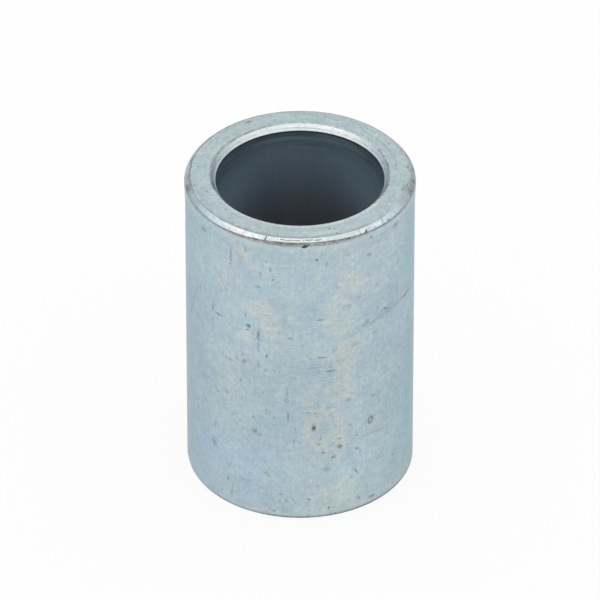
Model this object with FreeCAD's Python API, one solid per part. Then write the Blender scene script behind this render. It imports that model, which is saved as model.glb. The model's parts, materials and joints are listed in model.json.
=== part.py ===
import FreeCAD, Part
import math
import os

# Clutch spacer: a plain steel tube that slides over a shaft and holds a clutch
# at its distance along it. It is cut from thick-walled tube, faced and chamfered
# at both ends, and zinc plated all over.
#
# Frame: +Z runs up the bore. The origin is the centre of the lower end face, the
# one the spacer stands on. All sizes are in millimetres.

# The tube
shaft_diameter = 25.4        # the shaft that the spacer slides over
shaft_clearance = 0.1        # gap all round between that shaft and the bore
wall_thickness = 4.6625      # makes the outside 34.925, a standard tube size
length = 52.4                # over both end faces

# Upper end, outside. The tool that faced it cut a chamfer and pushed the rim
# outwards, so a low lip stands proud of the tube just under the chamfer.
rim_chamfer = 0.7            # how far the face's edge lies inside the plain outside
rim_shoulder_radius = 0.5    # rounding where the chamfer turns into the lip
lip_rise = 0.115             # how far the lip stands out of the plain outside
lip_crown = 1.3              # height of the lip's straight part
lip_run_out = 1.8            # height over which the lip dies away into the tube

# Upper end, inside. The mouth is opened by two passes: a wide flare at the face,
# and a steeper lead into the bore under it.
mouth_flare_width = 0.51
mouth_flare_depth = 0.54
mouth_lead_width = 0.24
mouth_lead_depth = 0.48

# Lower end: the edges are only broken, less outside than inside
foot_chamfer = 0.15
foot_mouth_chamfer = 0.5

# Radii of the section
bore_radius = shaft_diameter / 2 + shaft_clearance
outside_radius = bore_radius + wall_thickness
lip_radius = outside_radius + lip_rise
face_edge_radius = outside_radius - rim_chamfer
mouth_waist_radius = bore_radius + mouth_lead_width
mouth_edge_radius = mouth_waist_radius + mouth_flare_width

# Heights of the section, down from the upper face. The chamfer is cut at 45
# degrees, so it reaches down as far as it goes out.
mouth_waist_height = length - mouth_flare_depth
mouth_foot_height = mouth_waist_height - mouth_lead_depth
rim_corner_height = length - (lip_radius - face_edge_radius)
lip_crown_foot_height = rim_corner_height - lip_crown
lip_foot_height = lip_crown_foot_height - lip_run_out


def at(radius, height):
    """A point of the section, which is drawn in the XZ plane."""
    return FreeCAD.Vector(radius, 0, height)


def line(start, end):
    return Part.LineSegment(start, end).toShape()


def rounded_corner(before, corner, after, radius):
    """The arc that rounds a corner, with the two points where it touches the sides."""
    towards_before = (before - corner).normalize()
    towards_after = (after - corner).normalize()
    bisector = (towards_before + towards_after).normalize()
    half_angle = towards_before.getAngle(towards_after) / 2
    tangent_length = radius / math.tan(half_angle)
    centre_distance = radius / math.sin(half_angle)
    start = corner + towards_before * tangent_length
    end = corner + towards_after * tangent_length
    middle = corner + bisector * (centre_distance - radius)
    return Part.Arc(start, middle, end).toShape(), start, end


def section():
    """Half of the tube's section as one closed wire, drawn round from the lower face."""
    face_edge = at(face_edge_radius, length)
    rim_corner = at(lip_radius, rim_corner_height)
    lip_crown_foot = at(lip_radius, lip_crown_foot_height)
    shoulder, shoulder_top, shoulder_foot = rounded_corner(
        face_edge, rim_corner, lip_crown_foot, rim_shoulder_radius)

    # The lip dies away in a soft S: a curve that leaves the lip and reaches the
    # tube straight down, with its bend half way.
    lip_foot = at(outside_radius, lip_foot_height)
    half_run_out = at(0, lip_run_out / 2)
    run_out = Part.BezierCurve()
    run_out.setPoles([lip_crown_foot, lip_crown_foot - half_run_out, lip_foot + half_run_out, lip_foot])

    foot_corner = at(outside_radius, foot_chamfer)
    foot_edge = at(outside_radius - foot_chamfer, 0)
    foot_mouth_edge = at(bore_radius + foot_mouth_chamfer, 0)
    bore_foot = at(bore_radius, foot_mouth_chamfer)
    bore_head = at(bore_radius, mouth_foot_height)
    mouth_waist = at(mouth_waist_radius, mouth_waist_height)
    mouth_edge = at(mouth_edge_radius, length)

    return Part.Wire([
        line(foot_mouth_edge, foot_edge),
        line(foot_edge, foot_corner),
        line(foot_corner, lip_foot),
        run_out.toShape(),
        line(lip_crown_foot, shoulder_foot),
        shoulder,
        line(shoulder_top, face_edge),
        line(face_edge, mouth_edge),
        line(mouth_edge, mouth_waist),
        line(mouth_waist, bore_head),
        line(bore_head, bore_foot),
        line(bore_foot, foot_mouth_edge),
    ])


def spacer_tube():
    """The tube: its section turned once round the bore's axis."""
    return Part.Face(section()).revolve(at(0, 0), FreeCAD.Vector(0, 0, 1), 360)


os.makedirs("parts", exist_ok=True)
tube = spacer_tube()
tube.exportStep("parts/spacer_tube.step")
print("outside diameter", 2 * outside_radius)
print("bore diameter", 2 * bore_radius)
print("length", length)
print("solids", len(tube.Solids), "valid", tube.isValid(), "volume in cm3", tube.Volume / 1000)
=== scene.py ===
# %% [markdown]
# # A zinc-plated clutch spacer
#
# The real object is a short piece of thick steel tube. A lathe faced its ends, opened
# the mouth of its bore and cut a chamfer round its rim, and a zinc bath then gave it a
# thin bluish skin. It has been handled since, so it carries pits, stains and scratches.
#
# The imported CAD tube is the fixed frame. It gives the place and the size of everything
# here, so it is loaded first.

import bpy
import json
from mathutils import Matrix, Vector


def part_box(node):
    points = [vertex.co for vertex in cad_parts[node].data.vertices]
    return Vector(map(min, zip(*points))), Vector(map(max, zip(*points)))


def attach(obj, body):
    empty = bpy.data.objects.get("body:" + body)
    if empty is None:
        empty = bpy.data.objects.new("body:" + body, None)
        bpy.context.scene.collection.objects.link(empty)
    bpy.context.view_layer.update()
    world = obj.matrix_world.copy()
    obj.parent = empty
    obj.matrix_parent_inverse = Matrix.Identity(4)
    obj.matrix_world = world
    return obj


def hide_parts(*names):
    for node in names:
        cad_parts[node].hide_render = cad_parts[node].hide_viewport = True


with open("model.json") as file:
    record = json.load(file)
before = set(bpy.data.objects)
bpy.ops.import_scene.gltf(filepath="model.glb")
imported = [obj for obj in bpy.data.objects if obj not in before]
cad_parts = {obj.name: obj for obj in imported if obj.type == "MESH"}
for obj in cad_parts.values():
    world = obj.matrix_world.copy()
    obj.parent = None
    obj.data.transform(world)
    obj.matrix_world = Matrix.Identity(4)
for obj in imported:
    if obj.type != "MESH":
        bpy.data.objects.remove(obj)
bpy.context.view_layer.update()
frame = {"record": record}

# %% [markdown]
# The mesh is made with bmesh, which edits points, edges and faces directly, and one fixed
# noise from mathutils roughens it.

# %% Bring in the tools
import json
import math
import random
from collections import namedtuple

import bmesh
import bpy
from mathutils import Vector, noise

print("working in Blender", bpy.app.version_string)

# %% [markdown]
# ## Sizes
#
# Blender works in metres, and a tube this small is easier to think of in millimetres, so
# each size is written in millimetres and multiplied once. The length and the lip come from
# the frame's box and the bore from its mount. The others are the small cuts at the ends.
# On the real rim the chamfer is two cuts: a wide one at 45 degrees, and a steeper one
# where the tool broke out of the metal.

# %% Sizes of the tube
MM = 0.001
low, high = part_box("spacer_tube")
bore_mount = next(m for m in frame["record"]["mounts"] if m["name"] == "shaft_bore")

length = (high.z - low.z) / MM
lip_radius = round((high.x - low.x) / 2 / MM, 3)
bore_radius = bore_mount["dims"]["r_mm"]
lip_rise = 0.115
outside_radius = lip_radius - lip_rise

rim_chamfer = 0.7
rim_cut = 0.5
rim_break_depth = 0.5
lip_crown = 1.3
lip_run_out = 1.8
mouth_flare_width, mouth_flare_depth = 0.51, 0.54
mouth_lead_width, mouth_lead_depth = 0.24, 0.48
foot_chamfer = 0.15
foot_mouth_chamfer = 0.5
print("length", round(length, 2), "outside radius", round(outside_radius, 3), "bore radius", bore_radius)

# %% [markdown]
# ## The section, turned once round
#
# A tube is a body of revolution, so only half of its section is drawn: twelve corners and
# the edges between them. Spin carries that outline round the bore's axis. Its last step
# lands on its first, and use_merge sews the two together, so that no seam is left.

# %% Draw the section and spin it
AROUND = 240

face_edge = outside_radius - rim_chamfer
mouth_waist = bore_radius + mouth_lead_width
mouth_edge = mouth_waist + mouth_flare_width
mouth_waist_height = length - mouth_flare_depth
bore_head_height = mouth_waist_height - mouth_lead_depth
bore_head_depth = length - bore_head_height
break_head_height = length - rim_cut
tear_depth = rim_cut + rim_break_depth
break_foot_height = break_head_height - rim_break_depth
lip_foot_height = break_foot_height - lip_crown - lip_run_out
corners = {
    "foot_inside": (bore_radius + foot_mouth_chamfer, 0),
    "foot_outside": (outside_radius - foot_chamfer, 0),
    "wall_foot": (outside_radius, foot_chamfer),
    "lip_foot": (outside_radius, lip_foot_height),
    "crown_foot": (lip_radius, break_foot_height - lip_crown),
    "crown_head": (lip_radius, break_foot_height),
    "cut_foot": (face_edge + rim_cut, break_head_height),
    "face_outside": (face_edge, length),
    "face_inside": (mouth_edge, length),
    "mouth_waist": (mouth_waist, mouth_waist_height),
    "bore_head": (bore_radius, bore_head_height),
    "bore_foot": (bore_radius, foot_mouth_chamfer),
}

body = bmesh.new()
outline = [body.verts.new((0, radius, height)) for radius, height in corners.values()]
sides = [body.edges.new(pair) for pair in zip(outline, outline[1:] + outline[:1])]
bmesh.ops.spin(body, geom=outline + sides, cent=(0, 0, 0), axis=(0, 0, 1),
               angle=math.tau, steps=AROUND, use_merge=True)
bmesh.ops.recalc_face_normals(body, faces=body.faces)
print("turned", len(body.faces), "faces")

# %% [markdown]
# ## Edges that a tool really leaves
#
# No turned edge is perfectly sharp, and a thin rounding is what catches the light. Bevel
# rounds each ring of edges by its own amount: a hair on the crisp ones, more on the rim's
# shoulder. A very wide bevel at both ends of the lip's slope makes its soft run-out.

# %% Round the rings of edges
TOUCH = 1e-4


def radius_of(point):
    return math.hypot(point.x, point.y)


def ring(radius, height):
    """The edges that run round the tube at one corner of the section."""
    return [edge for edge in body.edges
            if all(abs(radius_of(v.co) - radius) + abs(v.co.z - height) < TOUCH for v in edge.verts)]


roundings = {
    "foot_inside": (0.10, 2),
    "foot_outside": (0.04, 2),
    "wall_foot": (0.06, 2),
    "lip_foot": (0.85, 4),
    "crown_foot": (0.85, 4),
    "crown_head": (0.16, 4),
    "cut_foot": (0.03, 1),
    "face_outside": (0.03, 2),
    "face_inside": (0.03, 2),
    "mouth_waist": (0.04, 2),
    "bore_head": (0.05, 2),
    "bore_foot": (0.10, 2),
}
for name, (offset, segments) in roundings.items():
    bmesh.ops.bevel(body, geom=ring(*corners[name]), offset=offset, offset_type="OFFSET",
                    segments=segments, profile=0.5, affect="EDGES", material=-1)
print("rounded", len(roundings), "rings,", len(body.faces), "faces")

# %% [markdown]
# ## Enough points where the detail is
#
# The tube is still long thin strips. The dents and the ragged rim need points of their own,
# so each strip is divided along the section, closely at the rim and the mouth and hardly at
# all in the straight bore. The rim is then divided round the tube as well.

# %% Divide the strips
RIM_BELOW = 1.6
TORN_BELOW = 1.3


def is_level(edge):
    """True for an edge that runs round the tube, and False for one that runs along the section."""
    first, second = (v.co for v in edge.verts)
    return abs(first.z - second.z) + abs(radius_of(first) - radius_of(second)) < TOUCH


def strip_spacing(radius, height):
    """How many millimetres apart the points along the section are, at one place on it."""
    if abs(radius - bore_radius) < TOUCH:
        return 4.0
    if height < TOUCH:
        return 1.0
    if height > length - TOUCH:
        return 0.35
    if height > length - RIM_BELOW:
        return 0.12
    if height < 1.0:
        return 0.2
    return 0.5


def divide_strips():
    strips = {}
    for edge in body.edges:
        if not is_level(edge):
            middle = (edge.verts[0].co + edge.verts[1].co) / 2
            spot = round(radius_of(middle), 2), round(middle.z, 2)
            strips.setdefault(spot, []).append(edge)
    for (radius, height), edges in strips.items():
        cuts = round(edges[0].calc_length() / strip_spacing(radius, height)) - 1
        if cuts > 0:
            bmesh.ops.subdivide_edges(body, edges=edges, cuts=cuts, use_grid_fill=True)


divide_strips()
rim_rings = [edge for edge in body.edges if is_level(edge)
             and length - TORN_BELOW < edge.verts[0].co.z < length + TOUCH
             and radius_of(edge.verts[0].co) > face_edge - TOUCH]
bmesh.ops.subdivide_edges(body, edges=rim_rings, cuts=2, use_grid_fill=True)
print("divided into", len(body.faces), "faces")

# %% [markdown]
# ## Marks
#
# The tube was knocked and scratched, and some of its steel was rusty before it was plated.
# Real dents catch light as a painted spot never does, so they are pressed into the mesh.
# A kind says how deep its marks are, how brown the dirt in them is, how strong the pale ring
# round them is, and how ragged their edge is.

# %% Kinds of mark
Mark = namedtuple("Mark", "angle height long wide lean dark")
Kind = namedtuple("Kind", "depth brown halo ragged")
kinds = {
    "pit": Kind(depth=0.08, brown=0.15, halo=0.5, ragged=0.4),
    "rusty_pit": Kind(depth=0.06, brown=0.55, halo=0.5, ragged=0.4),
    "ring": Kind(depth=0.03, brown=0.5, halo=0.2, ragged=0.12),
    "scratch": Kind(depth=0.02, brown=0.35, halo=0.2, ragged=0.4),
    "smudge": Kind(depth=0.0, brown=0.8, halo=0.0, ragged=0.5),
}
print("kinds of mark", list(kinds))

# %% [markdown]
# The clear marks are listed, sorted by kind. Each row gives the angle round from the front
# in degrees, the height, the length and width in millimetres, the lean from level in
# degrees, and how dark the mark is. A negative angle is to the left.

# %% Marks on the wall
wall_marks = {
    "pit": [
        (-14.8, 46.6, 0.94, 0.41, 90, 0.5), (-20, 45.4, 1.14, 0.48, 90, 0.4),
        (-13.5, 44.8, 0.62, 0.35, 45, 0.65), (-21, 43, 0.52, 0.3, 0, 0.7), (-40, 40.5, 0.94, 0.57, 90, 0.4),
        (-43, 39.8, 0.52, 0.5, 90, 0.4), (-46.3, 39, 0.42, 0.35, 0, 0.4),
        (-28.2, 37.2, 0.94, 0.38, 90, 0.5), (-26.5, 35.3, 0.83, 0.68, 0, 0.75),
        (-49, 35.8, 1.56, 0.38, 90, 0.6), (-49.3, 33.5, 1.04, 0.36, 90, 0.45),
        (-49.6, 31.8, 1.35, 0.21, 90, 0.45), (-16.8, 30.4, 0.83, 0.45, 90, 0.65),
        (-33, 28.4, 0.83, 0.26, -30, 0.65), (-29, 28.4, 1.14, 0.65, 50, 0.5),
        (-59, 30.5, 0.42, 0.37, 0, 0.4), (-5, 34.2, 1.04, 0.34, 0, 0.5), (-10.4, 35, 0.42, 0.27, 90, 0.55),
        (-13, 27.8, 0.42, 0.23, 0, 0.6), (-10.5, 27.8, 0.42, 0.23, 0, 0.45),
        (-60, 37.7, 0.94, 0.76, 0, 0.35), (8.4, 48.7, 0.52, 0.49, 30, 0.7),
        (10.5, 49.6, 0.31, 0.24, 0, 0.5), (13.2, 47.8, 0.94, 0.44, 90, 0.45),
        (36.3, 43.7, 0.52, 0.33, 90, 0.35), (28.3, 43.6, 0.42, 0.39, 0, 0.45),
        (24.5, 39.2, 1.14, 0.34, 0, 0.45), (10, 37.5, 1.25, 0.29, 0, 0.6), (46, 38, 0.42, 0.45, 0, 0.45),
        (42.5, 36.8, 0.62, 0.38, 90, 0.45), (45, 35.7, 0.52, 0.48, 0, 0.4),
        (48.2, 35.7, 1.14, 0.39, -25, 0.65), (51.5, 35.1, 1.35, 0.32, -10, 0.4),
        (33.5, 34.6, 0.42, 0.41, 0, 0.75), (35.5, 35, 1.04, 0.82, 0, 0.45),
        (40.5, 32.4, 0.94, 0.73, 0, 0.4), (5, 30.3, 0.42, 0.2, 0, 0.8), (11, 30.4, 1.66, 0.25, 0, 0.65),
        (6, 28.6, 2.5, 0.23, 0, 0.4), (15, 27.7, 1.66, 0.41, 0, 0.6), (15, 28.4, 0.94, 0.33, 0, 0.45),
        (9, 27.6, 0.62, 0.46, 90, 0.45), (11, 26.1, 0.62, 0.24, 0, 0.45),
        (-45.7, 20.5, 0.52, 0.21, 40, 0.7), (-39.8, 21.3, 1.04, 0.82, 0, 0.4),
        (-41, 18.8, 0.52, 0.21, 90, 0.6), (-6, 19.5, 1.66, 0.39, 90, 0.55),
        (-17.3, 20.2, 0.31, 0.32, 0, 0.8), (-16, 19.6, 0.31, 0.24, 0, 0.4), (-13, 19, 0.42, 0.41, 0, 0.5),
        (-24, 18.4, 0.52, 0.53, 0, 0.55), (-20.4, 15.3, 0.52, 0.47, 90, 0.55),
        (-48, 14, 1.66, 0.6, 90, 0.35), (-38.7, 7.2, 1.04, 0.41, 90, 0.45), (-39, 4.9, 1.25, 0.62, 90, 0.4),
        (-3, 14.7, 1.14, 0.24, 90, 0.6), (-5, 14.6, 0.83, 0.19, 90, 0.4), (-7, 3.3, 0.62, 0.66, 0, 0.45),
        (-10.5, 3, 0.42, 0.41, 0, 0.45), (-13.8, 3.4, 0.31, 0.24, 0, 0.65), (25, 21.5, 0.94, 0.79, 0, 0.45),
        (5, 20.1, 0.42, 0.21, 0, 0.75), (7.5, 20, 0.52, 0.29, 0, 0.7), (14.2, 20.8, 0.62, 0.32, 0, 0.5),
        (17.5, 20.6, 0.52, 0.21, 0, 0.55), (15.3, 19.4, 0.62, 0.5, 90, 0.45),
        (7, 17.2, 1.14, 0.55, 85, 1.0), (6.8, 17.9, 0.42, 0.36, 0, 0.65), (11.8, 12.4, 0.52, 0.41, 90, 0.7),
        (26.3, 16.5, 1.14, 0.27, -50, 0.5), (30, 14.3, 1.14, 0.29, -50, 0.55),
        (24.5, 13, 0.83, 0.41, 0, 0.4), (30, 11.7, 1.04, 0.48, -20, 0.5), (31.7, 11.1, 0.42, 0.41, 0, 0.45),
        (-37.6, 45.6, 0.42, 0.3, 90, 0.55),
        (29.5, 7.5, 1.46, 0.42, -55, 0.6), (42.5, 8.2, 0.31, 0.32, 0, 0.9),
        (44.5, 8.1, 0.31, 0.35, 0, 0.55), (9, 6.1, 0.52, 0.23, 0, 0.6), (26.5, 6.5, 0.31, 0.36, 0, 0.6),
        (4.7, 3.6, 0.83, 0.38, -10, 0.55), (14.6, 1.6, 0.52, 0.49, 90, 0.7),
        (54.5, 6.9, 0.52, 0.42, 0, 0.55), (40, 20.5, 1.14, 0.59, 0, 0.4), (43.5, 20.6, 0.52, 0.33, 0, 0.5),
        (44.5, 19, 0.42, 0.39, 0, 0.55), (60.5, 22.3, 0.52, 0.42, 0, 0.55), (8.5, 19.3, 0.8, 0.25, 0, 0.5),
    ],
    "rusty_pit": [
        (-28, 49.3, 1.03, 0.56, 90, 0.45), (-31, 46.4, 0.41, 0.31, 0, 0.5),
        (-17, 48.1, 0.52, 0.59, 0, 0.45), (-27, 34.5, 0.62, 0.47, 0, 0.6),
        (-21.2, 34, 1.75, 0.53, 90, 0.65), (-45, 35.1, 1.65, 0.54, 0, 0.55),
        (-37, 27.7, 1.03, 0.8, 0, 0.35), (36.8, 47.4, 1.03, 0.53, -25, 0.55),
        (17, 31.3, 0.82, 0.43, 90, 0.4), (-23.3, 15.8, 1.03, 0.83, 90, 0.55),
        (-48.8, 10.3, 1.54, 1.16, 90, 0.45), (-36, 17.5, 0.41, 0.38, 0, 0.5),
        (-13, 1.2, 0.52, 0.45, 0, 0.6), (18.7, 23, 0.62, 0.61, 90, 0.35), (9.2, 14, 0.52, 0.52, 90, 0.55),
        (20.3, 13, 0.93, 0.77, 30, 0.7), (17.1, 11.3, 0.82, 0.72, 20, 0.55),
        (31, 2.1, 0.72, 0.66, 90, 0.55), (55.5, 21.8, 0.82, 0.63, 0, 0.4),
    ],
    "ring": [
        (38, 16.2, 1.35, 0.98, 72, 0.7), (28.5, 31.6, 1.01, 0.62, 0, 0.4), (19, 29.3, 0.45, 0.38, 0, 0.5),
        (-6.8, 22.4, 0.78, 0.72, 0, 0.5), (-16.8, 8, 1.0, 0.6, -45, 0.5),
    ],
    "scratch": [
        (-36.6, 47.2, 3.6, 0.31, 90, 0.55), (-42.9, 42, 3.4, 0.45, -56, 0.4),
        (-68.9, 32.9, 8.8, 0.39, 68, 0.4), (-21.2, 31.8, 2.4, 0.4, 90, 0.45),
        (-21.2, 28.6, 1.6, 0.4, 90, 0.5),
        (31, 40.3, 1, 0.33, 0, 0.4), (-54.5, 13.2, 4.6, 0.31, 0, 0.3), (-5, 13, 3, 0.33, 0, 0.3),
        (-36.5, 3.1, 3.3, 0.4, 85, 0.4), (-3.3, 3.5, 1.1, 0.23, -68, 0.6), (41.3, 13.5, 7.6, 0.33, -3, 0.4),
        (5, 8, 3, 0.23, 0, 0.3), (20, 14.6, 1, 0.4, 0, 0.55), (-6.5, 24, 2, 0.38, 88, 0.4),
        (41.5, 34.8, 4.6, 0.3, 12, 0.45), (28, 33.5, 3.4, 0.26, 16, 0.35),
    ],
    "smudge": [
        (-56, 49.1, 1.38, 1, 0, 0.5), (-31, 47.5, 2.44, 1.6, 90, 0.3), (-62, 31.8, 2.01, 0.99, 0, 0.3),
        (7, 39.4, 1.27, 0.97, 0, 0.3), (66.5, 35, 4.03, 0.46, 0, 0.7), (58, 42.6, 1.27, 0.39, 45, 0.45),
        (48, 48.6, 0.64, 0.56, 0, 0.3), (55.2, 50.1, 1.17, 0.93, 0, 0.55), (37.5, 50.6, 0.53, 0.43, 0, 0.7),
        (-57, 21.5, 2.33, 1.79, 0, 0.3), (13.5, 9.1, 1.27, 1, 0, 0.45), (39, 1.4, 1.38, 0.54, 0, 0.6),
        (42, 41.2, 1.1, 0.45, 45, 0.45), (47, 35.1, 3.2, 1.5, 8, 0.35), (36, 34.5, 2.6, 0.8, 8, 0.3),
        (57, 34.9, 2.5, 0.8, 0, 0.3), (27, 33.8, 2.0, 0.6, 15, 0.25), (28.5, 31.9, 1.5, 0.9, 0, 0.3),
    ],
}
print("wall marks", {kind: len(rows) for kind, rows in wall_marks.items()})

# %% [markdown]
# The upper face and the rim have marks of their own. Those on the face are given by their
# radius instead of a height. The rim's are sharper: a black slash across the cut left of the
# front, a wedge torn out under it at the front, small nicks, and smudges at both sides.

# %% Marks on the face and the rim
face_marks = {
    "pit": [
        (120.6, 15.7, 0.4, 0.35, 0, 0.7), (99, 14.75, 0.4, 0.3, 0, 0.6), (-72, 14.8, 0.4, 0.3, 0, 0.7),
        (-44, 14.7, 0.35, 0.3, 0, 0.6), (47, 14.6, 0.4, 0.25, 20, 0.6), (33, 16.7, 0.4, 0.2, 0, 0.7),
        (17.4, 15.0, 0.4, 0.25, 30, 0.7), (19.8, 15.2, 0.4, 0.25, 30, 0.7), (-165, 14.9, 0.5, 0.25, 0, 0.6),
        (158, 15.4, 0.6, 0.2, 10, 0.6),
    ],
    "rusty_pit": [
        (-114, 13.75, 0.7, 0.2, 0, 0.7), (118, 13.7, 0.6, 0.25, 0, 0.7), (-50, 14.5, 0.5, 0.3, 0, 0.7),
        (79.5, 16.5, 0.8, 0.25, 10, 0.8), (83, 16.7, 0.6, 0.2, 0, 0.8),
    ],
    "ring": [(-79, 16.3, 0.6, 0.5, 0, 0.5)],
    "scratch": [
        (-100, 13.75, 2.0, 0.16, 0, 0.7), (-101, 16.75, 1.2, 0.2, 0, 0.45), (-92, 16.75, 1.0, 0.2, 0, 0.45),
        (-125, 15.4, 2.2, 0.12, 25, 0.5), (140, 15.1, 2.6, 0.12, -20, 0.5), (64, 15.2, 1.8, 0.12, 40, 0.4),
    ],
    "smudge": [
        (-150, 15.9, 1.4, 0.9, 0, 0.45), (96, 16.4, 1.0, 0.5, 0, 0.6), (12, 14.3, 1.2, 0.5, 0, 0.3),
        (76, 16.45, 2.2, 1.1, 20, 0.5),
    ],
}
rim_marks = {
    "pit": [
        (-17.6, 52.12, 0.8, 0.13, 65, 1.3), (2.1, 51.34, 0.85, 0.5, 8, 1.6),
        (3.1, 51.43, 0.7, 0.3, 14, 1.3), (4.1, 51.54, 0.9, 0.2, 15, 1.0),
        (46.9, 52.1, 0.8, 0.12, 100, 0.9), (35.2, 51.9, 0.45, 0.28, 60, 1.2),
        (25.1, 51.69, 0.35, 0.25, 0, 1.2), (50.2, 51.95, 0.4, 0.22, 0, 0.7), (78, 51.9, 0.7, 0.25, 0, 0.8),
    ],
    "rusty_pit": [(34.2, 51.8, 0.5, 0.22, 0, 0.9)],
    "scratch": [
        (31.6, 52.1, 0.7, 0.09, 90, 0.9), (40.9, 52.0, 0.6, 0.1, 0, 0.9), (0.8, 51.8, 0.5, 0.1, 90, 0.8),
        (-30, 52.0, 0.4, 0.1, 90, 0.6), (-24, 51.9, 0.5, 0.12, 0, 0.7), (-38, 52.0, 0.7, 0.1, 0, 0.5),
    ],
    "smudge": [
        (-88, 52.3, 1.4, 0.3, -10, 0.6), (-104, 52.3, 2.4, 0.35, 0, 0.7), (-118, 52.35, 1.6, 0.2, 0, 0.6),
        (-78, 52.1, 1.0, 0.5, 40, 0.5), (-79.5, 51.95, 2.4, 0.8, 0, 0.7), (76, 52.1, 1.8, 0.7, 10, 0.6),
        (86, 51.95, 1.6, 0.8, 0, 0.6), (85, 52.1, 1.2, 0.5, 0, 0.7), (95, 52.05, 0.7, 0.4, 30, 0.7),
        (101, 51.0, 1.3, 0.3, 75, 0.7), (107, 52.1, 1.6, 0.5, 10, 0.6),
    ],
}


def folded_up(rows):
    """Turns a face mark's radius into its height on the peeled skin, where the face follows the wall."""
    return [(angle, length + outside_radius - radius, *rest) for angle, radius, *rest in rows]


print("face marks", {kind: len(rows) for kind, rows in face_marks.items()})

# %% [markdown]
# A real tube has many more marks than can be listed. The small ones all round come from a
# random generator with a fixed seed, so that each run gives the same tube. Some more of
# them crowd together low down, a little right of the front.

# %% Scatter the small marks
LOOSE_MARKS = 150
CROWDED_MARKS = 30
dice = random.Random(11)


def loose_mark(angle, height):
    """A small mark at one place. Most lean little, because the tube was knocked as it rolled."""
    long = dice.uniform(0.22, 0.55)
    wide = long * dice.uniform(0.35, 0.9)
    lean = dice.choice((0, 0, 90)) + dice.gauss(0, 25)
    kind = dice.choice(("pit", "pit", "rusty_pit"))
    dark = dice.uniform(0.25, 0.6)
    return kind, Mark(angle, height, long, wide, lean, dark)


marks = [(kind, Mark(*row)) for kind, rows in wall_marks.items() for row in rows]
marks += [(kind, Mark(*row)) for kind, rows in face_marks.items() for row in folded_up(rows)]
marks += [loose_mark(dice.uniform(-180, 180), dice.uniform(0.8, length - 3.5)) for _ in range(LOOSE_MARKS)]
marks += [loose_mark(dice.gauss(13, 6), dice.gauss(16.5, 3.0)) for _ in range(CROWDED_MARKS)]
fine_marks = [(kind, Mark(*row)) for kind, rows in rim_marks.items() for row in rows]
print(len(marks), "marks on the skin,", len(fine_marks), "on the rim")

# %% [markdown]
# A dent of half a millimetre needs about eight points across. The whole wall at that
# spacing would be a million faces, so only the faces near a mark are divided further. A
# place on the tube is measured as on a skin peeled off it: millimetres round it and
# millimetres up, with the upper face folded up past the wall's top. The points are sorted
# into cells of that skin, so that each mark looks only at the cells that it covers.

# %% Look up the points round a mark
CELL_TURN = 6
CELL_UP = 2.0
FACE_BAND = 0.02


def angle_of(point):
    """Degrees round the tube from the front, to the right as seen from the front."""
    return math.degrees(math.atan2(point.x, -point.y))


def turn_between(angle, other):
    """Degrees from one angle to another, the short way round."""
    return (angle - other + 180) % 360 - 180


def sort_skin(items):
    """Sorts the things on the outer skin, each with its middle, into cells of the peeled skin."""
    cells = {}
    for item, middle in items:
        radius, angle = radius_of(middle), angle_of(middle)
        is_face = middle.z > length - FACE_BAND
        if is_face or radius > face_edge:
            up = length + outside_radius - radius if is_face else middle.z
            cell = int(angle // CELL_TURN) % (360 // CELL_TURN), int(up // CELL_UP)
            cells.setdefault(cell, []).append((item, radius, angle, up))
    return cells


def around(mark, cells, margin):
    """The things in a mark's box, widened by a margin, each with its place: 1 is the mark's own edge."""
    half = mark.long / 2 + margin
    turn = math.degrees(half / mouth_edge)
    lean = math.radians(mark.lean)
    rows = range(int((mark.height - half) // CELL_UP), int((mark.height + half) // CELL_UP) + 1)
    columns = range(int((mark.angle - turn) // CELL_TURN), int((mark.angle + turn) // CELL_TURN) + 1)
    for row in rows:
        for column in columns:
            for item, radius, angle, up in cells.get((column % (360 // CELL_TURN), row), ()):
                level = math.radians(turn_between(angle, mark.angle)) * radius
                rise = up - mark.height
                along = level * math.cos(lean) + rise * math.sin(lean)
                across = rise * math.cos(lean) - level * math.sin(lean)
                if abs(along) < half and abs(across) < mark.wide / 2 + margin:
                    yield item, along / (mark.long / 2), across / (mark.wide / 2)


print("cells of", CELL_TURN, "degrees by", CELL_UP, "mm")

# %% [markdown]
# Each edge near a mark on the skin is cut into four. Rings and the larger dark pits are looked
# at most closely, so the edges at them are halved once more. The rim has nearly enough points
# already, so at its own marks the edges are only halved.

# %% Divide the faces near the marks
CLEAR_ENOUGH = 0.18


def divide_near(marks, cuts, margin):
    """Cuts every edge of the faces that lie within a margin of some marks."""
    cells = sort_skin((face, face.calc_center_median()) for face in body.faces)
    edges = set()
    for kind, mark in marks:
        for face, along, across in around(mark, cells, margin):
            edges.update(face.edges)
    bmesh.ops.subdivide_edges(body, edges=list(edges), cuts=cuts, use_grid_fill=True)


rings = [(kind, mark) for kind, mark in marks if kind == "ring"]
clear_pits = [(kind, mark) for kind, mark in marks if kind in ("pit", "rusty_pit")
              and mark.long * mark.wide * mark.dark > CLEAR_ENOUGH]
divide_near(marks, cuts=3, margin=0.22)
divide_near(rings, cuts=1, margin=0.15)
divide_near(clear_pits, cuts=1, margin=0.06)
divide_near(fine_marks, cuts=1, margin=0.1)
print("divided near the marks into", len(body.faces), "faces")

# %% [markdown]
# Dividing an edge puts the new points on the straight line between its ends, a hair inside
# the circle. Each point is moved out to the circle again, or the rim would shine in flats.

# %% Put every point back on its circle
STEP = math.tau / AROUND
for vert in body.verts:
    turn = math.atan2(vert.co.x, vert.co.y)
    off_middle = (turn % STEP) - STEP / 2
    stretch = math.cos(off_middle) / math.cos(STEP / 2)
    vert.co.x *= stretch
    vert.co.y *= stretch
print("moved", len(body.verts), "points back to their circles")
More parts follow.
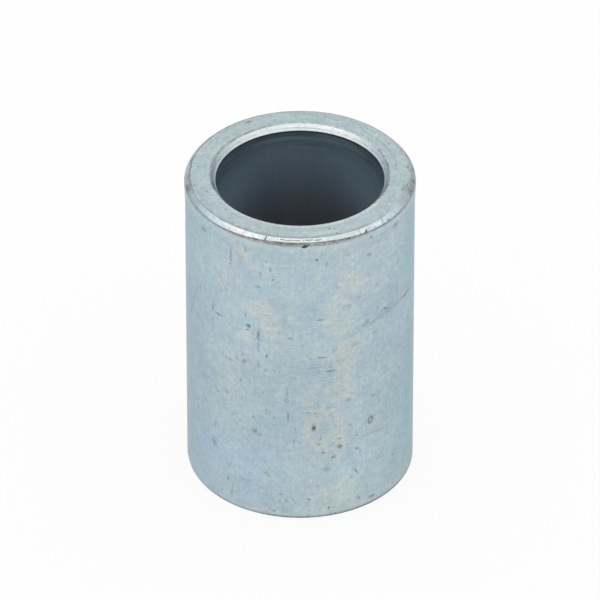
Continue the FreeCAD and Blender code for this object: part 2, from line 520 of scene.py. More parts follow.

# %% [markdown]
# ## Pressed marks, painted dirt and painted shade
#
# Some numbers are painted on the points while they are moved, for the finish to read: the
# first is dirt, with painted shade in the same number, the second is how brown that dirt is,
# the third is bright metal that the cutting tool left, with painted highlights in the same
# number, and the fourth is the straw stain that plating gets in places. The last three are
# slow drifts of its tint, its lightness and its scratches.

# %% Painted numbers
body.normal_update()
grime = body.verts.layers.float.new("grime")
rust = body.verts.layers.float.new("rust")
wear = body.verts.layers.float.new("wear")
warmth = body.verts.layers.float.new("warmth")
film = body.verts.layers.float.new("film")
pale = body.verts.layers.float.new("pale")
scuff = body.verts.layers.float.new("scuff")


def ease(value, start, end):
    """0 before start, 1 after end, and smooth between."""
    share = min(max((value - start) / (end - start), 0), 1)
    return share * share * (3 - 2 * share)


def add_dirt_and_shade(vert, amount, brown):
    """Adds to a point's dirt, which also carries painted shade, unless the point already has more."""
    if amount > vert[grime]:
        vert[grime] = amount
        vert[rust] = brown


print("painting", body.verts.layers.float.keys())

# %% [markdown]
# A mark is deepest in its middle and its edge is ragged, so the distance from the middle is
# made a little longer or shorter by noise. A ring mark is a shallow groove round a clean
# middle. The metal that was pushed aside stands up as a low pale ring.

# %% Press the marks
HALO_RISE = 0.006
MARK_MARGIN = 0.3


def press_mark(vert, mark, kind_name, away):
    """Presses one point for one mark. Away is 0 in the mark's middle and 1 at its edge."""
    kind = kinds[kind_name]
    hollow = 1 - ease(away, 0.35, 1.1)
    stain = 1 - ease(away, 0.35, 1.65)
    if kind_name == "ring":
        hollow = stain = ease(away, 0.05, 0.65) * (1 - ease(away, 0.85, 1.45))
        vert[warmth] = max(vert[warmth], 0.8 - ease(away, 0.3, 0.7))
    depth = min(kind.depth * mark.dark, 0.3 * mark.wide)
    halo = ease(away, 0.9, 1.15) * (1 - ease(away, 1.25, 1.7)) * kind.halo
    is_wall = vert.co.z < lip_foot_height
    vert.co += vert.normal * (HALO_RISE * halo * is_wall - depth * hollow)
    vert[warmth] = max(vert[warmth], 0.8 * halo)
    add_dirt_and_shade(vert, stain * mark.dark, kind.brown)


def press_marks():
    """Presses every mark into the points round it, with a ragged edge."""
    cells = sort_skin((vert, vert.co.copy()) for vert in body.verts)
    for kind_name, mark in marks + fine_marks:
        for vert, along, across in around(mark, cells, MARK_MARGIN):
            rough = noise.noise(vert.co * 3.0) + noise.noise(vert.co * 7.0)
            away = math.hypot(along, across) * (1 + kinds[kind_name].ragged * rough)
            press_mark(vert, mark, kind_name, away)


press_marks()
print("pressed or painted", len(marks) + len(fine_marks), "marks")

# %% [markdown]
# The tube ran a little out of true on the lathe, so the rim's cut is narrow at the front and
# wider at the sides. It is bright, because it was cut last, and a painted highlight makes it
# brighter still; its dull sides are painted shade with some dirt. The steeper facet under it
# is torn rather than cut, so it is ragged, and its dark brown is dirt and painted shade.
# Some knocks took small bites out of the rim, and they are listed first.

# %% Knocks on the rim
Knock = namedtuple("Knock", "angle wide depth")
rim_knocks = [
    Knock(3.0, 0.8, 0.06), Knock(46, 0.4, 0.04), Knock(35, 0.4, 0.05), Knock(97, 0.8, 0.06),
    Knock(151, 0.5, 0.06), Knock(-130, 0.7, 0.07), Knock(-168, 0.4, 0.05), Knock(122, 0.3, 0.05),
]
print(len(rim_knocks), "knocks on the rim")

# %% [markdown]
# Noise read at each point moves the torn edge in and out. Dirt, painted shade and brightness,
# partly a painted highlight, differ from place to place round the rim, and a window of angles
# says where each begins and ends.

# %% Tear the rim
CUT_WIDENS = 0.18
TORN_IN = 0.03
KNOCK_REACH = 1.4
RIM_REACH_IN = 0.12
RIM_REACH_DOWN = 2.6


def window(angle, start, end, soft=15):
    """1 between two angles in degrees right of the front, 0 outside them, softened at both ends."""
    return ease(angle, start - soft, start + soft) * (1 - ease(angle, end - soft, end + soft))


def back_window(angle, start, end, soft=15):
    """The same round the back, where an angle jumps from 180 to -180: start and end go on to 360."""
    return window((angle + 360) % 360, start, end, soft)


def widen_cut(vert):
    """Moves the cut's lower edge down and out at the sides, and gives how far down it is."""
    wider = CUT_WIDENS * ease(abs(angle_of(vert.co)), 5, 50)
    below = length - vert.co.z
    share = max(min(below / rim_cut, (tear_depth - below) / rim_break_depth), 0)
    stretch = 1 + wider * share / radius_of(vert.co)
    vert.co = Vector((vert.co.x * stretch, vert.co.y * stretch, vert.co.z - wider * share))
    return rim_cut + wider


def paint_rim_point(vert, radius, below, angle, rough, on_tear, on_cut):
    """Soils the torn facet and edges, with painted shade, and paints the clean cut bright, partly as a
    painted highlight.
    """
    # How dark the torn facet is, with brown dirt and painted shade.
    brown = 0.28 + 0.28 * window(angle, -38, 30, 8) + 0.16 * window(angle, 6, 26, 5)
    brown += 0.18 * window(angle, -16, -2, 4)
    add_dirt_and_shade(vert, on_tear * (brown + 0.9 * rough), 1.0)
    vert[warmth] = max(vert[warmth], 0.9 * on_tear)
    # The cut's dull sides are painted shade, with some dirt.
    cut_side_shade = window(abs(angle), 66, 115, 12)
    beyond = window(abs(angle), 86, 112, 5)
    add_dirt_and_shade(vert, on_cut * cut_side_shade * (0.18 + 0.8 * rough + 0.10 * (angle > 0) - 0.14 * beyond), 0.9)
    corner_line = 1 - ease(abs(below), 0.02, 0.10)
    corner_line *= 1 - ease(radius, face_edge + 0.05, face_edge + 0.15)
    left_and_back = back_window(angle, 200, 290)
    right_front = window(angle, 50, 78, 6)
    add_dirt_and_shade(vert, corner_line * (0.25 + 0.22 * left_and_back - 0.2 * right_front + 0.8 * rough), 0.6)
    # Less of the painted highlight at the cut's sides: painted shade.
    right_cut_shade = 0.8 * window(angle, 54, 125, 12)
    left_cut_shade = 0.75 * window(-angle, 56, 84, 10) + 0.35 * window(-angle, 84, 125, 8)
    unshaded_share = 1 - right_cut_shade - left_cut_shade
    # How bright the cut is: bare metal, with a painted highlight on it.
    highlight_and_wear = 1.05 + 0.75 * window(angle, -40, -24, 8) - 0.25 * window(angle, 15, 37, 8) + 1.3 * rough
    on_lip = ease(below, tear_depth - 0.05, tear_depth + 0.1) * (1 - ease(below, 1.7, 2.4))
    # The lip's sheen, strongest at the left, is a painted highlight.
    lip_wear_and_sheen = 0.25 + 0.65 * window(-angle, 78, 102, 5)
    vert[wear] = max(on_cut * unshaded_share * highlight_and_wear, lip_wear_and_sheen * on_lip)


def tear_rim_point(vert):
    """Moves a point of the rim in or out, for the ragged tear and the knocks, and paints it."""
    cut_foot = widen_cut(vert)
    place = vert.co.copy()
    radius, below, angle = radius_of(place), length - place.z, angle_of(place)
    rough = noise.noise(place * 1.3) * 0.5 + noise.noise(place * 4.0) * 0.35
    rough += noise.noise(place * 9.0) * 0.2
    on_tear = ease(below, cut_foot - 0.1, cut_foot + 0.05)
    on_tear *= 1 - ease(below + 0.5 * rough, tear_depth - 0.15, tear_depth + 0.25)
    on_cut = ease(below, 0.0, 0.04) * (1 - ease(below + 0.08 * rough, cut_foot, cut_foot + 0.08))
    move = 0.010 * rough * on_cut - TORN_IN * (0.5 + rough) * on_tear
    for knock in rim_knocks:
        away = abs(math.radians(turn_between(angle, knock.angle))) * radius / (knock.wide / 2)
        if away < KNOCK_REACH:
            at_knock = 1 - ease(away * (1 + 0.4 * rough), 0.2, 1.2)
            hollow = at_knock * (1 - ease(below, 0.9, 1.2)) * ease(below, 0.0, 0.1)
            move -= knock.depth * hollow
            add_dirt_and_shade(vert, 0.6 * hollow * ease(below, 0.3, 0.6), 0.6)
    vert.co += vert.normal * move
    paint_rim_point(vert, radius, below, angle, rough, on_tear, on_cut)


rim_points = [vert for vert in body.verts if radius_of(vert.co) > face_edge - RIM_REACH_IN
              and vert.co.z > length - RIM_REACH_DOWN]
for vert in rim_points:
    tear_rim_point(vert)
print("tore the rim at", len(rim_points), "points")

# %% [markdown]
# The mouth was cut by the same tool, so it is bright too, and a painted highlight makes it
# brighter; its two sides are painted dark, painted shade. Its upper edge is dirty and a little
# ragged, most of all at the left, the back and the far right. The flat face has a straw tint
# near the rim, and it is brighter near the mouth at the front.

# %% Polish the mouth and soil the face
THIN_RING_RADIUS = 14.7
MOUTH_SKIN = 0.15
CORNER_SKIN = 0.02


def finish_mouth_point(vert):
    """Polishes a point of the mouth, with a painted highlight, paints shade on its sides and soils its
    upper edge.
    """
    radius, below, angle = radius_of(vert.co), length - vert.co.z, angle_of(vert.co)
    rough = noise.noise(vert.co * 2.0) + 0.5 * noise.noise(vert.co * 6.0)
    # How bright the mouth is: polished metal with a painted highlight, and painted shade at the sides.
    highlight_and_wear = 1 - window(abs(angle), 75, 120, 18) + 0.35 * window(angle, 84, 98, 6)
    right_back_highlight = window(angle, 140, 168, 8)
    on_lead = ease(below, mouth_flare_depth - 0.04, mouth_flare_depth + 0.06)
    polish_and_highlight = highlight_and_wear * (1.15 + 0.4 * on_lead + 0.45 * right_back_highlight + 0.35 * rough)
    vert[wear] = ease(below, 0.0, 0.05) * max(polish_and_highlight, 1.1 * on_lead)
    left_and_back = back_window(angle, 195, 272)
    at_edge = 1 - ease(abs(radius - mouth_edge), 0.03, 0.22)
    far_right = window(angle, 66, 112, 6)
    add_dirt_and_shade(vert, at_edge * (0.24 + 0.34 * left_and_back + 0.34 * far_right + 0.5 * rough), 0.5)
    # The mouth's dark sides are painted shade.
    mouth_side_shade = 0.85 * window(-angle, 70, 86, 5) + 0.48 * window(-angle, 86, 106, 5)
    mouth_side_shade += 0.65 * window(angle, 68, 82, 5) + 0.15 * window(angle, 90, 106, 5)
    add_dirt_and_shade(vert, (1 - on_lead) * mouth_side_shade * (0.9 + 0.4 * rough), 0.0)
    add_dirt_and_shade(vert, 0.40 * (1 - ease(abs(below - mouth_flare_depth), 0.02, 0.08)) * (1 + rough), 0.2)
    vert.co += vert.normal * 0.006 * rough * ease(below, 0.02, 0.1)


def soil_face_point(vert):
    """Tints and soils a point of the flat face near its two edges and along one thin turned ring."""
    radius, angle = radius_of(vert.co), angle_of(vert.co)
    rough = noise.noise(vert.co * 0.8) + 0.6 * noise.noise(vert.co * 3.0)
    left_and_back = back_window(angle, 195, 272)
    near_rim = ease(radius, face_edge - 0.8, face_edge - 0.1)
    near_mouth = 1 - ease(radius, mouth_edge + 0.15, mouth_edge + 0.75)
    vert[warmth] = max(vert[warmth], near_rim * (0.55 + 0.4 * rough), near_mouth * left_and_back * 0.8)
    far_left = window(-angle, 86, 124, 8)
    dirtier = 0.2 * window(angle, -50, 20) + 0.12 * window(angle, 68, 82, 5) - 0.3 * far_left
    add_dirt_and_shade(vert, near_rim * (0.22 + 0.35 * rough + dirtier), 0.75)
    vert[pale] += near_rim * 1.2 * far_left
    add_dirt_and_shade(vert, near_mouth * left_and_back * (0.26 + 0.5 * rough), 0.6)
    thin_ring = 1 - ease(abs(radius - THIN_RING_RADIUS - 0.1 * rough), 0.02, 0.16)
    at_sides = max(window(angle, 45, 135), window(angle, -150, -90))
    add_dirt_and_shade(vert, thin_ring * (0.36 + 0.3 * rough) * at_sides, 0.5)
    vert[wear] = max(vert[wear], near_mouth * window(angle, -60, 60) * (0.75 + 0.4 * rough))


for vert in body.verts:
    radius, below = radius_of(vert.co), length - vert.co.z
    if radius < mouth_edge + MOUTH_SKIN and below < bore_head_depth + CORNER_SKIN:
        finish_mouth_point(vert)
    if below < FACE_BAND and mouth_edge < radius < face_edge + CORNER_SKIN:
        soil_face_point(vert)
print("finished the mouth and the face")

# %% [markdown]
# The straw stains lie in patches, most of them in a band a little right of the front. A patch
# is painted softly here, and the finish gives it its crisp streaky edge. Each one is an oval,
# whose outline is let wander by slow noise.

# %% Straw stains
Stain = namedtuple("Stain", "angle height wide tall")
stains = [Stain(*row) for row in (
    (25, 43, 6, 7), (19, 40, 4, 3), (20.5, 36.7, 6, 5), (25.5, 30.5, 5.5, 7), (21, 27, 4, 4),
    (22.5, 23.7, 6, 6), (14, 19.7, 4, 3.5), (20.6, 15.8, 2.8, 7.5), (12, 13, 2.5, 4), (6.3, 17, 2.6, 9),
    (25.5, 6.5, 4.5, 4), (17, 4.3, 8.5, 4.5), (18, 1.3, 14, 4), (-12, 0.8, 7, 2), (10, 1.5, 5, 3),
    (62, 1.5, 8, 4), (-21, 39.3, 5.5, 3.5), (-15.5, 36.3, 3.5, 6), (-30.5, 48.3, 3.4, 5), (-17, 48, 3, 2),
    (0, 47.4, 1.6, 1.4), (25, 48.3, 2.2, 1.5), (-4, 37.8, 1, 2), (-44, 42, 2, 3), (-37, 28, 3.5, 2),
    (-29, 33, 4, 3), (-32, 23.7, 3, 3), (95, 30, 10, 12), (140, 18, 12, 9), (-100, 40, 9, 9),
    (-150, 22, 10, 14), (175, 38, 8, 10), (-95, 12, 7, 9),
)]


def stain_at(place):
    """How strong the straw stain is at one place on the wall, from 0 to about 1."""
    wander = Vector((noise.noise(place * 0.35), noise.noise(place * 0.35 + Vector((9, 0, 0))), 0)) * 1.2
    total = 0
    for stain in stains:
        level = math.radians(turn_between(angle_of(place), stain.angle)) * outside_radius + wander.x
        up = place.z - stain.height + wander.y
        away = math.hypot(level / (stain.wide / 2), up / (stain.tall / 2))
        total = max(total, 1 - ease(away, 0.4, 1.3))
    return total * (0.85 + 0.4 * noise.noise(place * 0.9))


print(len(stains), "straw stains")

# %% [markdown]
# The plate isn't one tint all over: a film of oxide, thinner than a wave of light, makes it
# greener in one place and bluer in the next, and it is paler or darker in places, and more
# scratched where it was handled.
# These drifts are wide and soft. The last three numbers of each say how much green, paleness
# and scratching it adds, and a negative number takes that away.

# %% Drifts of tint
Drift = namedtuple("Drift", "angle height wide tall green pale scuff")
drifts = [Drift(*row) for row in (
    (-68, 45, 10, 16, 0.7, 0.4, 0), (-66, 24, 9, 22, -0.4, -0.1, 0), (-42, 9, 20, 11, -0.9, 0.1, 0.1),
    (-66, 4, 9, 8, 0.8, 0, 0), (66, 12, 12, 26, 0.75, -0.4, 0), (71, 40, 6, 18, 0.6, 0.3, 0),
    (-34, 40, 16, 18, 0, 0.6, 0), (-18, 9, 14, 8, 0, 0.9, 0.2), (47, 36, 11, 10, -0.4, -0.9, 0.4),
    (-5, 32, 7, 12, 0, -0.5, 0.5), (30, 8, 13, 8, 0.2, 0.9, 0), (30, 20, 5, 24, 0, 0.6, 0),
    (8, 20, 6, 24, 0, -0.5, 0), (-17, 37.5, 5, 5, 0, 0, 1), (8, 28.5, 8, 6, 0, -0.3, 1),
    (8, 39, 6, 4, 0, 0.2, 0.9), (10, 20, 8, 5, 0, 0, 0.8), (10, 2, 26, 5, 0.3, -0.3, 0.3),
    (52, 36, 8, 5, 0, -0.6, 0.2), (62, 3, 14, 6, 0, -0.7, 0), (-30, 32, 8, 8, 0, 0.5, 0),
    (-32, 18, 10, 8, -0.1, 0.1, 0.5), (0, 45, 20, 8, 0, 0.4, 0), (110, 34, 20, 16, 0.5, 0.3, 0.4),
    (150, 12, 18, 14, -0.6, -0.2, 0.6), (-170, 36, 18, 18, 0.3, -0.3, 0.7),
    (-125, 18, 16, 18, 0.6, 0.3, 0.3), (-105, 42, 12, 10, -0.5, 0.2, 0.5), (0, 26, 60, 7, 0, -0.5, 0),
    (25, 30, 6, 6, 0, -1.5, 0), (45, 18, 8, 8, 0, -0.9, 0), (24, 50, 12, 4, 0, -1.2, 0),
    (73, 28, 4, 50, 0.4, -0.5, 0),
)]


def let_drift(vert):
    """Adds up what every drift does to one point of the wall."""
    place = vert.co
    wander = Vector((noise.noise(place * 0.2), noise.noise(place * 0.2 + Vector((0, 9, 0))), 0)) * 2.5
    for drift in drifts:
        level = math.radians(turn_between(angle_of(place), drift.angle)) * outside_radius + wander.x
        up = place.z - drift.height + wander.y
        share = 1 - ease(math.hypot(level / (drift.wide / 2), up / (drift.tall / 2)), 0.3, 1.4)
        vert[film] += drift.green * share
        vert[pale] += drift.pale * share
        vert[scuff] += drift.scuff * share


print(len(drifts), "drifts of tint")

# %% [markdown]
# The lower edge is worn away most at the left and the left back. Its lowest band is dark with
# brown dirt where it stood and with painted shade. The wear takes metal off, and no point may
# sink below the flat end that the tube stands on.

# %% Stain the wall and wear the foot
WALL_SKIN = 0.5
WALL_HEAD = 0.9
FOOT_HEIGHT = 1.0
FOOT_WEAR = 0.13
FOOT_ROUGHNESS = 0.015


def wear_foot_point(vert):
    """Breaks the lower edge away at the left and the back, and darkens what is left of it with dirt and
    painted shade.
    """
    radius, height, angle = radius_of(vert.co), vert.co.z, angle_of(vert.co)
    left = back_window(angle, 195, 312, 25)
    rough = noise.noise(vert.co * 0.8) + 0.4 * noise.noise(vert.co * 3.0)
    corner = (1 - ease(height, 0.0, 0.6)) * ease(radius, outside_radius - 0.6, outside_radius - 0.1)
    taken = FOOT_WEAR * max(left + 0.4 * rough * left, 0) + FOOT_ROUGHNESS * (0.5 + rough)
    vert.co -= vert.normal * taken * corner
    vert.co.z = max(vert.co.z, 0)
    front_right = window(angle, -10, 75)
    # The dark lowest band is brown dirt and painted shade.
    foot_dirt_and_shade = 1 - ease(height + 0.1 * rough, 0.18 + 0.1 * left, 0.38 + 0.15 * left)
    add_dirt_and_shade(vert, corner * foot_dirt_and_shade * (0.95 + 0.35 * front_right + 0.3 * rough), 0.8)


for vert in body.verts:
    if radius_of(vert.co) > outside_radius - WALL_SKIN and vert.co.z < length - WALL_HEAD:
        vert[warmth] = max(vert[warmth], stain_at(vert.co))
        let_drift(vert)
    if vert.co.z < FOOT_HEIGHT and radius_of(vert.co) > outside_radius - FOOT_HEIGHT:
        wear_foot_point(vert)
print("stained and worn")

# %% [markdown]
# The shape is finished, so it becomes a mesh and an object. It goes from millimetres to
# metres here, in its points and not by the object's scale, so the object stays unscaled at
# the origin, as the frame's own nodes do. Its faces are shaded smooth, because the roundings
# at its edges are real.

# %% Make the piece
mesh = bpy.data.meshes.new("plated_tube")
bmesh.ops.scale(body, vec=(MM, MM, MM), verts=body.verts)
for face in body.faces:
    face.smooth = True
body.to_mesh(mesh)
body.free()
tube = bpy.data.objects.new("plated_tube", mesh)
bpy.context.scene.collection.objects.link(tube)
mesh.calc_loop_triangles()
print("plated_tube", len(mesh.vertices), "points", len(mesh.loop_triangles), "triangles")

# %% [markdown]
# ## Shader arithmetic
#
# A finish is a network of nodes. Written out node by node it is hard to read, so a small
# class wraps a socket and lets Python's own signs add the Math nodes: with it, 1 - mask is
# an expression. Every other kind of node comes from one method.

# %% A socket that knows arithmetic
class Wire:
    """One output of a node. An expression on wires and numbers adds the Math nodes for it."""

    def __init__(self, finish, socket):
        self.finish = finish
        self.socket = socket

    def maths(self, operation, *values):
        return self.finish.node("ShaderNodeMath", {"operation": operation}, dict(enumerate(values)))[0]

    def __add__(self, other):
        return self.maths("ADD", self, other)

    def __sub__(self, other):
        return self.maths("SUBTRACT", self, other)

    def __rsub__(self, other):
        return self.maths("SUBTRACT", other, self)

    def __mul__(self, other):
        return self.maths("MULTIPLY", self, other)

    def __truediv__(self, other):
        return self.maths("DIVIDE", self, other)

    def __pow__(self, other):
        return self.maths("POWER", self, other)

    def __abs__(self):
        return self.maths("ABSOLUTE", self)

    __radd__ = __add__
    __rmul__ = __mul__


class Finish:
    """The node tree of one material or of the world."""

    def __init__(self, owner):
        owner.use_nodes = True
        self.tree = owner.node_tree
        self.tree.nodes.clear()

    def node(self, kind, settings=None, inputs=None):
        """Adds a node, sets it up, feeds its sockets, and gives its outputs by number and by name."""
        made = self.tree.nodes.new(kind)
        for name, value in (settings or {}).items():
            setattr(made, name, value)
        for name, value in (inputs or {}).items():
            if isinstance(value, Wire):
                self.tree.links.new(value.socket, made.inputs[name])
            else:
                made.inputs[name].default_value = value
        outputs = {i: Wire(self, socket) for i, socket in enumerate(made.outputs)}
        return outputs | {socket.name: outputs[i] for i, socket in enumerate(made.outputs)}

    def ease(self, value, start, end):
        """0 where a value is under start, 1 over end, and smooth between."""
        return self.node("ShaderNodeMapRange", {"interpolation_type": "SMOOTHSTEP"},
                         {"Value": value, "From Min": start, "From Max": end})["Result"]

    def mix(self, first, second, share):
        """One colour turning into another as the share goes from 0 to 1."""
        return self.node("ShaderNodeMix", {"data_type": "RGBA"}, {0: share, 6: first, 7: second})[2]

    def scale(self, colour, factor):
        return self.node("ShaderNodeVectorMath", {"operation": "SCALE"}, {0: colour, "Scale": factor})[0]

    def shift(self, colour, change):
        return self.node("ShaderNodeVectorMath", {"operation": "ADD"}, {0: colour, 1: change})[0]

    def vector(self, x, y, z):
        return self.node("ShaderNodeCombineXYZ", None, {0: x, 1: y, 2: z})[0]

    def cloud(self, place, scale, detail=2.0, roughness=0.5):
        """Soft noise about 0, from about -0.5 to 0.5."""
        return self.node("ShaderNodeTexNoise", None, {"Vector": place, "Scale": scale, "Detail": detail,
                                                      "Roughness": roughness})["Fac"] - 0.5

    def painted(self, name):
        """A number that was painted on the mesh's points."""
        return self.node("ShaderNodeAttribute", {"attribute_name": name})["Fac"]


print("shader arithmetic ready")

# %% [markdown]
# ## Bright zinc plate
#
# Zinc plate is a metal with a blue-grey colour and a dull shine. It could be one colour
# with one noise over it, but the real skin has marks of several kinds, and each gets its own
# noise. The drawn steel shows through as fine lines along the tube, the polishing belt left
# others round it, and both leave short dark dashes. Everything is read from the object's own
# coordinates in millimetres, so that the pattern stays on the tube.

# %% Patterns of the plate
plate = bpy.data.materials.new("zinc_plate")
zinc = Finish(plate)

metres = zinc.node("ShaderNodeTexCoord")["Object"]
place = zinc.scale(metres, 1 / MM)
x, y, z = (zinc.node("ShaderNodeSeparateXYZ", None, {0: place})[i] for i in range(3))
radius = (x * x + y * y) ** 0.5

round_lines = zinc.cloud(zinc.vector(x * 0.12, y * 0.12, z * 5.0 + radius * 5.0), 1.0, 3.0, 0.6)
drawn_lines = zinc.cloud(zinc.vector(x * 3.5, y * 3.5, z * 0.10), 1.0, 3.0, 0.6)
round_dashes = zinc.cloud(zinc.vector(x * 0.35, y * 0.35, z * 4.0 + radius * 4.0), 1.0, 2.0)
round_dashes = zinc.ease(round_dashes, 0.13, 0.24)
drawn_dashes = zinc.ease(zinc.cloud(zinc.vector(x * 4.2, y * 4.2, z * 0.40), 1.0, 2.0), 0.14, 0.26)
grain = zinc.cloud(place, 3.2, 3.0, 0.65)
mottle = zinc.cloud(place, 1.2, 2.0, 0.6)
blotches = zinc.cloud(place, 0.45, 2.0, 0.6)
patches = zinc.cloud(place, 0.13, 3.0, 0.55)
warm = zinc.cloud(zinc.vector(x + 31, y, z), 1.1, 3.0, 0.6)
warm = warm + zinc.cloud(zinc.vector(x, y + 17, z), 0.2, 2.0) * 0.4
green = zinc.cloud(zinc.vector(x, y, z + 41), 1.3, 3.0, 0.7)
turned = zinc.cloud(zinc.vector(x * 0.10, y * 0.10, radius * 2.2 - z * 2.2), 1.0, 3.0, 0.6)
scuffed = zinc.cloud(zinc.vector(x, y, z + 23), 0.25, 2.0) + zinc.painted("scuff") * 0.35
scuffed = zinc.ease(scuffed, -0.02, 0.25)
print("patterns take", len(zinc.tree.nodes), "nodes")

# %% [markdown]
# The colours are those of the surface itself, in linear red, green and blue, except that the
# last three also hold painted highlight and painted reflection. The ones for plate differ very
# little: a straw stain changes the tint and hardly the lightness. The last four are for metal
# that the tool left bright.

# %% Colours of the plate
zinc_blue = (0.405, 0.520, 0.584, 1)
zinc_grey = (0.444, 0.538, 0.572, 1)
zinc_straw = (0.505, 0.568, 0.566, 1)
film_green = (0.385, 0.556, 0.580, 1)
film_blue = (0.375, 0.520, 0.618, 1)
face_pale = (0.448, 0.550, 0.570, 1)
bare_edge = (0.60, 0.67, 0.69, 1)
# The near-white burnish is mostly a painted highlight on the bare cuts.
burnish_and_highlight = (0.90, 0.88, 0.87, 1)
# The two lead colours are a painted highlight and a painted reflection.
lead_side_reflection_blue = (0.76, 0.92, 0.97, 1)
lead_highlight_white = (0.91, 0.99, 1.0, 1)
print("a straw stain is", round(zinc_straw[0] / zinc_blue[0], 2), "times as red as the plate")

# %% [markdown]
# They are mixed in the order in which the real skin got them: the plate first, then the straw
# stain with its streaky edge, then the drift to green or blue, as a thin film of oxide gives,
# and last the bare bright metal, with its painted highlight. The flat face is given a paler
# colour. The lead into the bore is painted whiter away from the front, a painted highlight,
# and both it and the rim's cut are painted bluer at the two sides, a painted reflection.

# %% Mix the colours
worn_and_highlit = zinc.painted("wear")
on_face = zinc.ease(z, length - 0.04, length - 0.01)
in_hole = 1 - zinc.ease(radius, mouth_edge - 0.06, mouth_edge)
streaks = blotches * 0.9 + mottle * 0.6 + round_lines * 0.7 + drawn_lines * 0.7
straw = zinc.ease(zinc.painted("warmth") + streaks * 1.3, 0.0, 0.95)
tone = zinc.mix(zinc_blue, zinc_grey, zinc.ease(patches + blotches * 0.5, -0.2, 0.2))
tone = zinc.mix(tone, face_pale, on_face)
tone = zinc.mix(tone, zinc_straw, straw * 0.85)
tone = zinc.mix(tone, film_green, zinc.painted("film") * 0.7)
tone = zinc.mix(tone, film_blue, zinc.painted("film") * -0.7)
tone = zinc.shift(tone, zinc.vector(warm * 0.070, green * 0.095, warm * -0.070))
# Bare metal that the tool left, then past it the near-white of a painted highlight.
tone = zinc.mix(tone, bare_edge, worn_and_highlit)
tone = zinc.mix(tone, burnish_and_highlight, worn_and_highlit - 1)
depth = z.maths("MINIMUM", z, length - z)
in_lead = in_hole * zinc.ease(depth, mouth_flare_depth - 0.06, mouth_flare_depth + 0.06)
# Painted highlight on the lead away from the front, painted reflection at its sides.
tone = zinc.mix(tone, lead_highlight_white, in_lead * zinc.ease(abs(x) / radius, -0.3, 0.5))
tone = zinc.mix(tone, lead_side_reflection_blue, in_lead * zinc.ease(abs(x) / radius, 0.75, 0.92))
on_cut = zinc.ease(radius, face_edge + 0.02, face_edge + 0.06) * zinc.ease(z, length - 0.9, length - 0.7)
# The cut's painted reflection turns bluer at the sides.
cut_side_reflection_blue = worn_and_highlit * on_cut * zinc.ease(abs(x) / radius, 0.55, 0.80)
tone = zinc.shift(tone, zinc.vector(cut_side_reflection_blue * -0.02, cut_side_reflection_blue * 0.04, cut_side_reflection_blue * 0.08))
print("colours are mixed with", len(zinc.tree.nodes), "nodes so far")

# %% [markdown]
# All the patterns together make one number near 1 that the colour is multiplied by. Rubbed
# places show more dark dashes, and the upper wall is painted a little lighter than the lower:
# painted light and shade, as the lower wall reflects the floor's shade near the tube.

# %% Shade the plate
lines = round_lines * 0.6 + drawn_lines * 0.5
texture = lines * 0.28 + grain * 0.47 + mottle * 0.34 + blotches * 0.10 + patches * 0.10
dashes = round_dashes * 0.17 + drawn_dashes * 0.15
rings = turned * (on_face * 0.45 + in_hole * 0.30) + (mottle + blotches) * on_face * 0.12
# Painted light and shade: the upper wall lighter than the lower.
painted_upper_light = zinc.ease(z, 20.0, 33.0) * 0.043 - 0.002
shade = 1 + texture + rings - dashes * (0.2 + scuffed * 1.4) + zinc.painted("pale") * 0.05 + painted_upper_light
tone = zinc.scale(tone, shade)
print("shaded with", len(zinc.tree.nodes), "nodes so far")

# %% [markdown]
# Tiny dark specks lie all over the plate. A Voronoi texture scatters them: each of its cells
# has one point, and only the cells whose random colour is high get a speck round that point.

# %% Scatter the specks
flecks = zinc.node("ShaderNodeTexVoronoi", {"feature": "F1"}, {"Vector": place, "Scale": 0.9})
chosen = zinc.ease(zinc.node("ShaderNodeSeparateColor", None, {0: flecks["Color"]})[0], 0.62, 0.95)
fleck = (1 - zinc.ease(flecks["Distance"] + grain * 0.10, 0.09, 0.20)) * chosen
print("with the specks,", len(zinc.tree.nodes), "nodes so far")

# %% [markdown]
# The bath hardly reached the inside of the bore, so that is dark blue-grey steel, and it is
# darker and greyer further in. Depth is measured from the nearer end. The boring tool left
# turned lines near the mouth, with one lighter ring. Painted light and shade make the sides
# darker near the mouth and lighter further in, and the right side lighter, and a painted
# shadow makes a dark line just under the lead, where the bore's own shadow begins.

# %% Colour the bore
bore_steel = (0.142, 0.206, 0.252, 1)
bore_deep = (0.125, 0.135, 0.155, 1)
in_bore = 1 - zinc.ease(radius, bore_radius + 0.04, bore_radius + 0.10)
in_bore = in_bore * zinc.ease(depth, bore_head_depth - 0.12, bore_head_depth - 0.04)
bore_tone = zinc.mix(bore_steel, bore_deep, zinc.ease(depth, 7.0, 19.0))
near_mouth = 1 - zinc.ease(depth, 2.5, 6.0)
# Painted light and shade at the bore's sides, and painted light on its right.
bore_side_light_and_shade = zinc.ease(abs(x) / radius, 0.35, 0.9) * (zinc.ease(depth, 2.5, 12.0) * 0.80 - 0.14)
bore_right_light = zinc.ease(x / radius, 0.1, 0.6) * 0.11
light_ring = zinc.ease(depth, 1.9, 2.05) * (1 - zinc.ease(depth, 2.25, 2.5))
bore_shade = 0.60 + zinc.ease(depth, 0.6, 6.0) * 0.40 + light_ring * 0.16 + bore_side_light_and_shade + bore_right_light
bore_shade = bore_shade + turned * near_mouth * 1.3 + drawn_lines * 0.2 + mottle * 0.2
# A painted shadow: the dark line just under the lead.
bore_shadow_line = 1 - zinc.ease(depth, bore_head_depth + 0.06, bore_head_depth + 0.28)
bore_tone = zinc.scale(bore_tone, bore_shade * (1 - bore_shadow_line * 0.72))
print("with the bore,", len(zinc.tree.nodes), "nodes so far")

